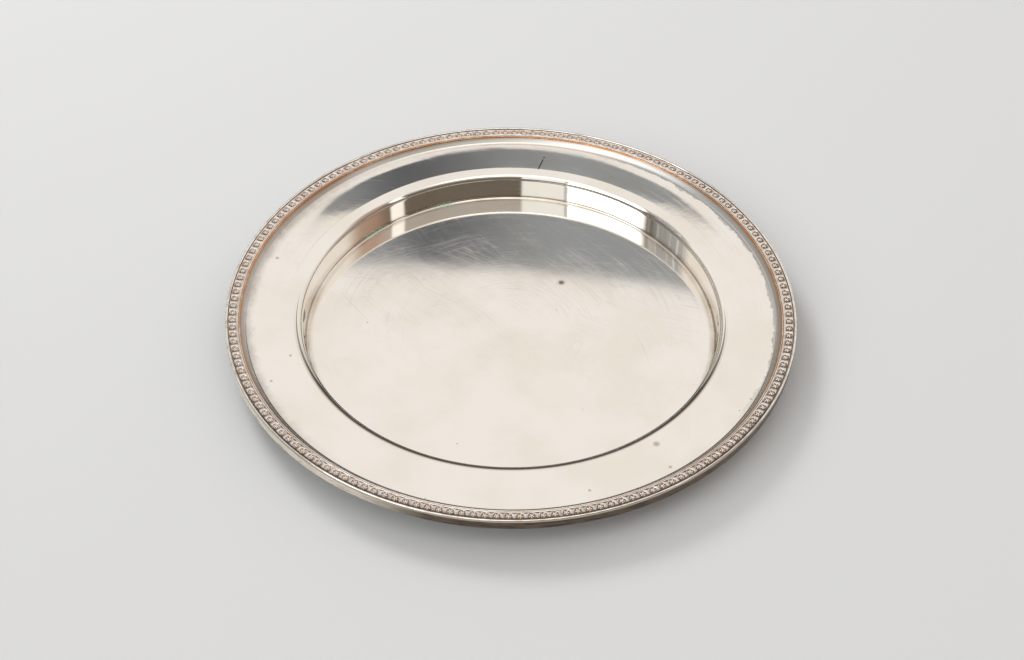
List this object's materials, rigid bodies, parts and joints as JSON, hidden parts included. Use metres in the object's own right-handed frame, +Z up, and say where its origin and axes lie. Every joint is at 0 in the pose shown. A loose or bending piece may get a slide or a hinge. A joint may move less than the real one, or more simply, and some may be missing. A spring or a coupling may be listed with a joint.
{
  "type": "serving platter",
  "caption": "Round silver-plated serving platter with a deep flat well, a broad rim and an applied border of struck rosettes between two half-round wires.",
  "frame": {"origin": "on the axis, at the flat underside that the platter rests on", "axes": "+Z up along the axis of the platter; the first joint in the border lies 36 degrees clockwise of +X, seen from above"},
  "size_m": [0.305, 0.305, 0.0216],
  "materials": {
    "plated_sheet": "silver plate on copper, polished, with fine scratches and light tarnish",
    "lapped_edge": "silver plate, dull and tarnished",
    "bright_wire": "silver plate, polished by wear",
    "worn_wire": "silver worn through to copper along its inner side",
    "solder": "soft solder, dull grey, hidden",
    "struck_border": "struck silver, darkened in the hollows, copper on the high points"
  },
  "bodies": {
    "root": {"dish": "plated_sheet", "edge_band": "lapped_edge", "edge_wire": "bright_wire", "inner_wire": "worn_wire", "solder_bed": "solder", "border_1": "struck_border", "border_2": "struck_border", "border_3": "struck_border", "border_4": "struck_border", "border_5": "struck_border", "border_6": "struck_border", "border_7": "struck_border", "border_8": "struck_border"}
  },
  "joints": []
}
